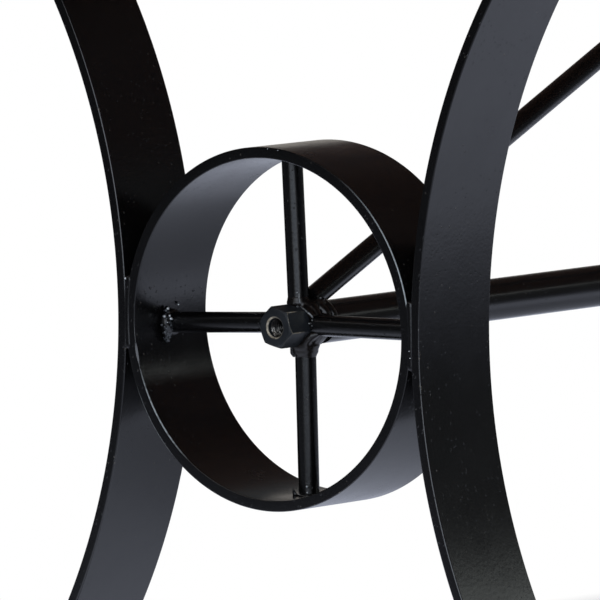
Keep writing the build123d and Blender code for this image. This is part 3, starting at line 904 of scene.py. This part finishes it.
def thread_steel():
    """The steel in the nut's bore, dark with oil and paint, with pale steel glints painted on its lower left side as
    highlights.
    """
    mix = Finish("hub_thread_steel", Metallic=0.8)
    _, centre, reach = off_axis(mix)
    oiled = mix.clouds((480, 4, 0.6), (0.36, (0.004, 0.004, 0.004)), (0.74, (0.045, 0.040, 0.034)))
    bare_and_glint = mix.clouds((480, 4, 0.6), (0.40, (0.03, 0.028, 0.025)), (0.60, (0.62, 0.59, 0.54)))
    # pale steel only towards the lower left of the bore: painted glints
    tone = mix.blend(mix.ramp(towards(mix, centre, reach, 222), (0.90, 0.0), (0.98, 1.0)), oiled, bare_and_glint)
    return mix.done(tone, mix.clouds((600, 3), (0.3, 0.30), (0.7, 0.48)), (mix.noise(1800, 3), 0.00006, 0.3))


def plank_oil(name, length):
    """Rough-sawn planks, stained dark reddish brown and oiled. The grain runs along X (0) or Y (1)."""
    mix = Finish(name, IOR=1.46)
    parts = mix.add("SeparateXYZ", Vector=mix.place).outputs
    number = mix.sum("FLOOR", mix.sum("DIVIDE", mix.sum("ADD", parts[1 - length], TOP_WIDTH / 2), PLANK_WIDTH))
    own = mix.add("TexWhiteNoise", {"noise_dimensions": "1D"}, W=number).outputs
    place = mix.vector("ADD", mix.place, mix.vector("MULTIPLY", own["Color"], (3.0, 5.0, 2.0)))

    def drawn(along, across):
        scale = [across, across, across]
        scale[length] = along
        return mix.moved(scale, place=place)

    def streaks(along, across, detail, rough):
        return mix.noise(1.0, detail, rough, drawn(along, across))

    waves = mix.add("TexWave", {"wave_type": "RINGS", "rings_direction": "XYZ"[length]}, Vector=drawn(0.25, 1.0),
                    Scale=34, Distortion=7, Detail=3, Detail_Scale=1.1).outputs["Fac"]
    rings = mix.sum("ADD", mix.times(waves, 0.6), mix.times(streaks(1.6, 7, 2, 0.5), 0.5))
    pores = streaks(22, 640, 6, 0.7)
    fibres = streaks(9, 170, 5, 0.6)
    knots = mix.cells(1.0, drawn(2.4, 8.5))
    tone = mix.ramp(rings, (0.20, (0.052, 0.021, 0.0095)), (0.50, (0.098, 0.043, 0.020)),
                    (0.82, (0.150, 0.072, 0.034)))
    for share, stain in (
            (mix.ramp(fibres, (0.38, 0.0), (0.68, 0.7)), (0.062, 0.026, 0.012)),
            (mix.ramp(pores, (0.60, 0.0), (0.72, 0.75)), (0.018, 0.008, 0.005)),
            (mix.ramp(knots, (0.05, 1.0), (0.14, 0.0)), (0.020, 0.009, 0.006)),
            (mix.ramp(streaks(6, 26, 4, 0.6), (0.56, 0.0), (0.74, 0.45)), (0.21, 0.115, 0.060)),
            (mix.times(own["Value"], 0.30), (0.070, 0.030, 0.014))):
        tone = mix.blend(share, tone, stain)
    return mix.done(tone, mix.ramp(fibres, (0.30, 0.40), (0.75, 0.62)), (pores, -0.0003, 0.5), (fibres, 0.0006, 0.35),
                    (knots, 0.002, 0.15), (streaks(130, 9, 2, 0.5), 0.0005, 0.25))


def glint_weld(name, low, high):
    """Weld metal painted pale, so that small specks and ridges show as painted highlights."""
    return plain_finish(name, tone=((900, 3), (0.30, low), (0.65, high)), gloss=((700, 3), (0.3, 0.20), (0.7, 0.42)),
                        grain=(((2200, 3), 0.00006, 0.4),), Metallic=0.5)


IRON = black_paint("black_iron_paint", peel=0.42)
IRON_EDGE = black_paint("black_iron_chipped_and_highlit_edge", rough=0.20, worn_and_highlit=True)
BEAD = black_paint("weld_bead_paint", rough=0.15, peel=0.08)
FILLET = black_paint("weld_fillet_paint", rough=0.30, tone=(0.0050, 0.0034, 0.0028))
# near-white specks and grey toes: painted highlights
GLINT = glint_weld("bare_weld_metal", (0.62, 0.64, 0.65), (0.92, 0.93, 0.92))
TOE_GLINT = glint_weld("painted_glint_weld_toe", (0.05, 0.053, 0.055), (0.42, 0.43, 0.43))
HUB_IRON = hub_paint()
THREAD = thread_steel()
LONG_PLANK = plank_oil("plank_oil_lengthways", 1)
CROSS_PLANK = plank_oil("plank_oil_crossways", 0)

# Rough weld metal under a thin coat of paint: dark grey, with bright points
SPATTER = plain_finish(
    "weld_spatter_paint", IOR=1.5, Metallic=0.45,
    tone=((700, 4, 0.6), (0.32, (0.014, 0.015, 0.017)), (0.62, (0.10, 0.107, 0.115))),
    gloss=((500, 3), (0.3, 0.10), (0.7, 0.26)),
    grain=(((1600, 3), 0.00012, 0.6),))

# End grain, darker than the planks
PEG = plain_finish(
    "peg_end_grain", IOR=1.46,
    tone=((900, 4, 0.7), (0.35, (0.030, 0.013, 0.007)), (0.68, (0.090, 0.042, 0.020))),
    patches=((120, 3), (0.4, 0.0), (0.7, 0.6), (0.13, 0.065, 0.032)),
    gloss=((300, 3), (0.3, 0.42), (0.7, 0.60)),
    grain=(((1400, 3), 0.0002, 0.5), ((220, 3), 0.0005, 0.4)))

# Black moulded nylon with a fine spark-eroded grain, scuffed grey in places
NYLON = plain_finish(
    "moulded_nylon", IOR=1.53,
    tone=((60, 4), (0.40, (0.011, 0.011, 0.012)), (0.75, (0.024, 0.024, 0.025))),
    patches=(((90, 90, 900), 5, 0.65), (0.60, 0.0), (0.75, 0.5), (0.06, 0.06, 0.06)),
    gloss=((140, 3), (0.3, 0.38), (0.7, 0.52)),
    grain=(((2600, 2), 0.0001, 0.35), ((240, 3), 0.0002, 0.15)))

# Bright zinc plate, dulled and a little stained
ZINC = plain_finish(
    "zinc_plate", Metallic=1.0,
    tone=((190, 4), (0.30, (0.40, 0.40, 0.385)), (0.72, (0.60, 0.60, 0.58))),
    patches=((75, 4, 0.6), (0.55, 0.0), (0.75, 0.65), (0.26, 0.22, 0.165)),
    gloss=((240, 4), (0.3, 0.24), (0.7, 0.42)),
    grain=(((1500, 3), 0.00008, 0.3), ((300, 2), 0.0001, 0.3)))

# Phosphated black screws: matt, with metal showing where the driver has been
SCREW_BLACK = plain_finish(
    "black_screw_finish", IOR=1.6, Metallic=0.6,
    tone=((500, 4), (0.3, (0.016, 0.016, 0.017)), (0.7, (0.034, 0.033, 0.033))),
    patches=((850, 4, 0.6), (0.60, 0.0), (0.70, 0.7), (0.22, 0.21, 0.20)),
    gloss=((350, 3), (0.3, 0.36), (0.7, 0.5)),
    grain=(((2200, 3), 0.00008, 0.4), ((500, 3), 0.0001, 0.2)))

PLANE_MARKS = bpy.data.textures.new("plane_marks", "CLOUDS")
PLANE_MARKS.noise_scale = 0.05


# ---- Building the table

def dress(piece, finish, slot, *nodes, body=BASE):
    """Gives a piece its finish, lets it ride on its body, and hides the CAD nodes that it stands for."""
    if finish and not len(piece.data.materials):
        piece.data.materials.append(finish)
    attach(piece, body)
    if nodes:
        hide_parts(*nodes)


def both_ends(piece, finish, slot, *nodes):
    """Dresses a front piece, and a copy of it turned half round about the table's middle. Nodes are (front, rear)."""
    copy = twin(piece, piece.name.replace("front_", "rear_"), turn=pi)
    dress(piece, finish, slot, *nodes[:1])
    dress(copy, finish, slot, *nodes[1:])


def build_base():
    both_ends(wheel_rim(), IRON, "black_iron", "front_wheel_rim", "rear_wheel_rim")
    for name, side, front, rear in (("a", -1, "left", "right"), ("b", 1, "right", "left")):
        both_ends(leg_arc(f"front_arc_{name}", side), IRON, "black_iron", f"front_{front}_arc", f"rear_{rear}_arc")
    for name, turned in (("top", "top"), ("bottom", "bottom"), ("left", "right"), ("right", "left")):
        both_ends(spoke(name), IRON, "black_iron", f"front_spoke_{name}", f"rear_spoke_{turned}")
    for name, length, bottom, places, hole in (
            ("top", TOP_RAIL_LENGTH, TOP_RAIL_BOTTOM, RAIL_SCREW_X, RAIL_SCREW_HOLE),
            ("foot", FOOT_RAIL_LENGTH, FOOT_RAIL_BOTTOM, (-FOOT_X, FOOT_X), FOOT_HOLE)):
        holes = [(x, -WHEEL_Y, hole) for x in places]
        rail = straight_bar(f"front_rail_{name}", (0, -WHEEL_Y), length, BAR_WIDTH, bottom, holes)
        both_ends(rail, IRON, "black_iron", f"front_{name}_rail", f"rear_{name}_rail")
    both_ends(hub_nut(), HUB_IRON, "hub_iron", "front_hub_nut", "rear_hub_nut")
    both_ends(hub_thread(), THREAD, "hub_iron")
    both_ends(brace(), IRON, "black_iron", "front_brace", "rear_brace")
    dress(stretcher(), IRON, "black_iron", "stretcher_tube")
    plate = straight_bar("brace_plate_bar", (0, 0), BAR_WIDTH, BRACE_PLATE_LENGTH, TOP_RAIL_BOTTOM)
    dress(plate, IRON, "black_iron", "brace_plate")
    for beads, finish in ((hub_fillets, FILLET), (hub_ripples, BEAD), (hub_toes, TOE_GLINT), (rim_beads, BEAD),
                          (rim_spatter, SPATTER), (glint_specks, GLINT)):
        both_ends(beads(), finish, "weld_bead")
    both_ends(seam_beads(), IRON, "weld_bead", "front_seam_welds", "rear_seam_welds")
    both_ends(rail_beads(), BEAD, "weld_bead")


def build_feet():
    stem, pad, nut = foot_stem(), foot_pad(), weld_nut()
    nuts = []
    for name, (side, end) in FEET.items():
        place = (side * FOOT_X, end * WHEEL_Y, 0)
        screw, glide = twin(stem, f"{name}_levelling_screw", place), twin(pad, f"{name}_glide", place)
        dress(screw, ZINC, "zinc_steel", f"{name}_foot_stem", body=f"{name}_stem")
        dress(glide, NYLON, "glide_nylon", f"{name}_foot_pad", body=f"{name}_pad")
        nuts.append(twin(nut, f"{name}_seat", place))
    dress(join(*nuts), IRON, "black_iron", "foot_weld_nuts")
    for pattern in (stem, pad, nut):
        bpy.data.objects.remove(pattern)


def build_top():
    half = TOP_WIDTH / 2
    for number in range(PLANKS):
        left = -half + number * PLANK_WIDTH
        piece = board(f"top_board_{number + 1}", (left, -SHOULDER, TOP_UNDERSIDE),
                      (left + PLANK_WIDTH, SHOULDER, TABLE_TOP), 1)
        dress(piece, LONG_PLANK, "plank_wood", f"plank_{number + 1}")
    end = board("front_end_board", (-half, -TOP_LENGTH / 2, TOP_UNDERSIDE), (half, -SHOULDER, TABLE_TOP), 0)
    both_ends(end, CROSS_PLANK, "plank_wood", "front_breadboard", "rear_breadboard")
    pegs = [peg("front_peg_ends", (number - 2) * PLANK_WIDTH, -PEG_LINE) for number in range(PLANKS)]
    both_ends(join(*pegs), PEG, "peg_wood", "front_pegs", "rear_pegs")


def build_screws():
    head, flat_ring = screw_head(), washer()
    rail = [(x, y) for y in (-WHEEL_Y, WHEEL_Y) for x in RAIL_SCREW_X]
    for name, places in (("top_rail", rail), ("brace_plate", PLATE_SCREWS)):
        heads = [twin(head, f"{name}_screw_heads", (x, y, 0), turn=x * 37 + y * 91) for x, y in places]
        dress(join(*heads), SCREW_BLACK, "black_screw", f"{name}_screws")
        washers = [twin(flat_ring, f"{name}_washer_rings", (x, y, 0)) for x, y in places]
        dress(join(*washers), ZINC, "zinc_steel", f"{name}_washers")
    for pattern in (head, flat_ring):
        bpy.data.objects.remove(pattern)


build_base()
build_feet()
build_top()
build_screws()


# ---- Studio: a white floor and backdrop, grey cards all round, and softboxes

def seen_factor(tree):
    """1 for rays that show the background: to the camera, in gloss and through glass."""
    path = add_node(tree, "LightPath").outputs
    seen = path["Is Camera Ray"]
    for ray in ("Is Glossy Ray", "Is Transmission Ray"):
        seen = add_node(tree, "Math", {"operation": "MAXIMUM"}, _0=seen, _1=path[ray]).outputs[0]
    return seen


def studio_world():
    """White wherever it is seen, straight or mirrored. For the light it gives, it is a dim room."""
    world = bpy.data.worlds.new("studio")
    bpy.context.scene.world = world
    world.use_nodes = True
    tree = world.node_tree
    tree.nodes.clear()
    room = add_node(tree, "Background", Color=(0.92, 0.96, 1.0, 1), Strength=0.45)
    white = add_node(tree, "Background", Color=(1, 1, 1, 1), Strength=1.0)
    mix = add_node(tree, "MixShader", _0=seen_factor(tree), _1=room.outputs[0], _2=white.outputs[0])
    add_node(tree, "OutputWorld", Surface=mix.outputs[0])


def by_distance(tree, stops, scale=(1, 1, 1), middle=(0, 0)):
    """A value that changes with the distance from a place on the floor. Each stop is (distance, value)."""
    floor = add_node(tree, "TexCoord").outputs["Object"]
    place = add_node(tree, "Mapping", Vector=floor, Scale=scale, Location=(-middle[0], -middle[1], 0)).outputs[0]
    distance = add_node(tree, "VectorMath", {"operation": "LENGTH"}, _0=place).outputs["Value"]
    reach = stops[-1][0]
    share = add_node(tree, "Math", {"operation": "DIVIDE"}, _0=distance, _1=reach).outputs[0]
    change = add_node(tree, "FloatCurve", Value=share)
    curve = change.mapping.curves[0]
    for number, (distance, value) in enumerate(stops):
        if number < 2:
            curve.points[number].location = (distance / reach, value)
        else:
            curve.points.new(distance / reach, value)
    for point in curve.points:
        point.handle_type = "VECTOR"
    change.mapping.update()
    return change.outputs[0]


def stage_tree(piece):
    """Puts a piece on the stage, with an empty finish of its own."""
    finish = bpy.data.materials.new(piece.name)
    finish.use_nodes = True
    finish.node_tree.nodes.clear()
    piece.data.materials.append(finish)
    return finish.node_tree


def studio_floor():
    """A pale floor that takes the table's shadow. Away from the table it shows as white."""
    bpy.ops.mesh.primitive_plane_add(size=30, location=(0, 0, 0))
    tree = stage_tree(named("studio_floor"))
    sheet = add_node(tree, "BsdfDiffuse", Color=(0.85, 0.86, 0.88, 1))
    white = add_node(tree, "Emission")
    away = by_distance(tree, ((0, 0), (0.66, 0), (0.80, 1), (2, 1)), (2.3, 1, 1))
    share = add_node(tree, "Math", {"operation": "MULTIPLY"}, _0=seen_factor(tree), _1=away)
    mix = add_node(tree, "MixShader", _0=share.outputs[0], _1=sheet.outputs[0], _2=white.outputs[0])
    add_node(tree, "OutputMaterial", Surface=mix.outputs[0])


def only_in_gloss(piece, colour, tone, middle=(0, 0)):
    """Makes a card glow in gloss and nowhere else, so that it keeps no light from the table.

    The tone is one number, or stops for its change with the distance from the middle.
    """
    for way in ("camera", "diffuse", "transmission", "volume_scatter", "shadow"):
        setattr(piece, f"visible_{way}", False)
    tree = stage_tree(piece)
    strength = by_distance(tree, tone, middle=middle) if isinstance(tone, tuple) else tone
    glow = add_node(tree, "Emission", Color=(*colour, 1), Strength=strength)
    add_node(tree, "OutputMaterial", Surface=glow.outputs[0])


def cut_away(piece, test):
    """Deletes the faces that pass the test."""
    pick(piece, lambda place, normal: test(place))
    bpy.ops.mesh.delete(type="FACE")
    close()


def glowing_floor_ring(name, inside, outside, stops, gap=None, only=None, middle=(0, 0), height=0.001):
    """A ring on the floor that glows only in gloss, in greys by distance: a painted reflection of the floor's light
    and of the table's shadow on it. One sector, from azimuth to azimuth, is cut out or kept.
    """
    bpy.ops.mesh.primitive_circle_add(vertices=144, radius=outside, fill_type="NGON", location=(*middle, height))
    piece = settle(named(name))
    if inside:
        pick(piece, lambda place, normal: True)
        bpy.ops.mesh.inset(thickness=outside - inside)
        bpy.ops.mesh.delete(type="FACE")
        close()
    if gap or only:
        low, high = gap or only
        cut_away(piece, lambda place: (low < degrees(atan2(place.x, -place.y)) < high) == bool(gap))
    only_in_gloss(piece, (0.87, 0.93, 1.12), stops, middle)


def card(name, azimuth, spread, bottom, top, distance, tone, colour=(0.92, 0.96, 1.0)):
    """An upright grey card, bent round the table. Azimuth 0 is in front of the front end, 90 is at +X."""
    bpy.ops.mesh.primitive_cylinder_add(vertices=72, radius=distance, depth=top - bottom, end_fill_type="NOTHING",
                                        location=HUB + UP * ((top + bottom) / 2 - HUB_HEIGHT))
    piece = settle(named(name))
    way = Vector((sin(radians(azimuth)), -cos(radians(azimuth))))
    cut_away(piece, lambda place: way.angle((place - HUB).xy) > radians(spread / 2))
    only_in_gloss(piece, colour, tone)


def softbox(name, azimuth, elevation, distance, width, height, radiance, colour=(1, 1, 1), aim=(0, 0, 0.2)):
    """A flat lamp that faces the table."""
    turn, rise = radians(azimuth), radians(elevation)
    out = Vector((sin(turn) * cos(rise), -cos(turn) * cos(rise), sin(rise)))
    place = Vector(aim) + out * distance
    bpy.ops.object.light_add(type="AREA", location=place, rotation=out.to_track_quat("Z", "Y").to_euler())
    lamp = named(name).data
    lamp.shape = "RECTANGLE"
    lamp.size, lamp.size_y = width, height
    lamp.energy = radiance * pi * width * height
    lamp.color = colour


FRONT = (36, 62)              # the sector where the far floor glow is paler
FLOOR_GLOW_EDGE = 0.70
FLOOR_GLOW_END = 4.5

studio_world()
studio_floor()
# dimmer under the table's middle: a painted shadow
glowing_floor_ring("floor_gloss_with_painted_shadow", 0, FLOOR_GLOW_EDGE, ((0, 0.42), (0.14, 0.46), (0.22, 0.62), (0.28, 0.82), (0.36, 0.84),
                                           (0.47, 0.93), (0.64, 0.78), (FLOOR_GLOW_EDGE, 0.72)))
# a brighter patch to the front left: a painted pool of light
glowing_floor_ring("floor_gloss_painted_light_patch", 0, 0.12, ((0, 0.86), (0.06, 0.80), (0.12, 0.66)), middle=(-0.205, -0.130), height=0.002)
# away from the table the floor's light fades, painted in greys
glowing_floor_ring("studio_grey_cloth", FLOOR_GLOW_EDGE, FLOOR_GLOW_END,
      ((0, 0.44), (FLOOR_GLOW_EDGE, 0.44), (1.1, 0.24), (2.0, 0.10), (FLOOR_GLOW_END, 0.04)), gap=FRONT)
glowing_floor_ring("studio_front_cloth", FLOOR_GLOW_EDGE, FLOOR_GLOW_END,
      ((0, 0.7), (FLOOR_GLOW_EDGE, 0.7), (1.6, 0.5), (FLOOR_GLOW_END, 0.3)), only=FRONT)
card("card_front_left", -55, 105, -0.1, 3.0, 4.0, 0.045)
card("card_right", 96, 66, -0.1, 3.0, 4.0, 0.035)
card("card_right_back", 150, 50, -0.1, 3.0, 4.2, 0.10)
card("card_back", 190, 40, -0.1, 3.0, 4.4, 0.35)
card("card_back_left", -140, 60, -0.1, 1.1, 4.2, 0.62, (1.0, 0.94, 0.87))
card("card_back_left_top", -140, 60, 1.1, 3.0, 4.2, 0.10)
softbox("overhead_softbox", 0, 90, 2.4, 2.4, 2.4, 1.6)
softbox("front_softbox", 33, 14, 2.6, 2.5, 1.7, 1.1, (0.76, 0.92, 1.17), HUB)
softbox("left_softbox", -100, 40, 2.4, 1.4, 1.2, 1.6)
softbox("right_back_softbox", 146, 33.5, 2.6, 1.3, 1.5, 1.4, (0.95, 1.02, 0.99), HUB)


def camera():
    """A long lens that looks at the front hub from the right, a little from above."""
    turn, rise = radians(39.93), radians(5.855)
    back = Vector((sin(turn) * cos(rise), -cos(turn) * cos(rise), sin(rise)))
    right = Vector((cos(turn), sin(turn), 0))
    up = back.cross(right)
    eye = HUB + back * 4.201
    aim = HUB - right * 0.00101 + up * 0.01136
    look = (aim - eye).to_track_quat("-Z", "Y") @ Quaternion((0, 0, 1), radians(-0.528))
    bpy.ops.object.camera_add(location=eye, rotation=look.to_euler())
    view = named("camera")
    view.data.lens = 562.1
    view.data.sensor_width = 36
    view.data.clip_end = 60
    bpy.context.scene.camera = view


camera()
bpy.context.scene.view_settings.view_transform = "Standard"
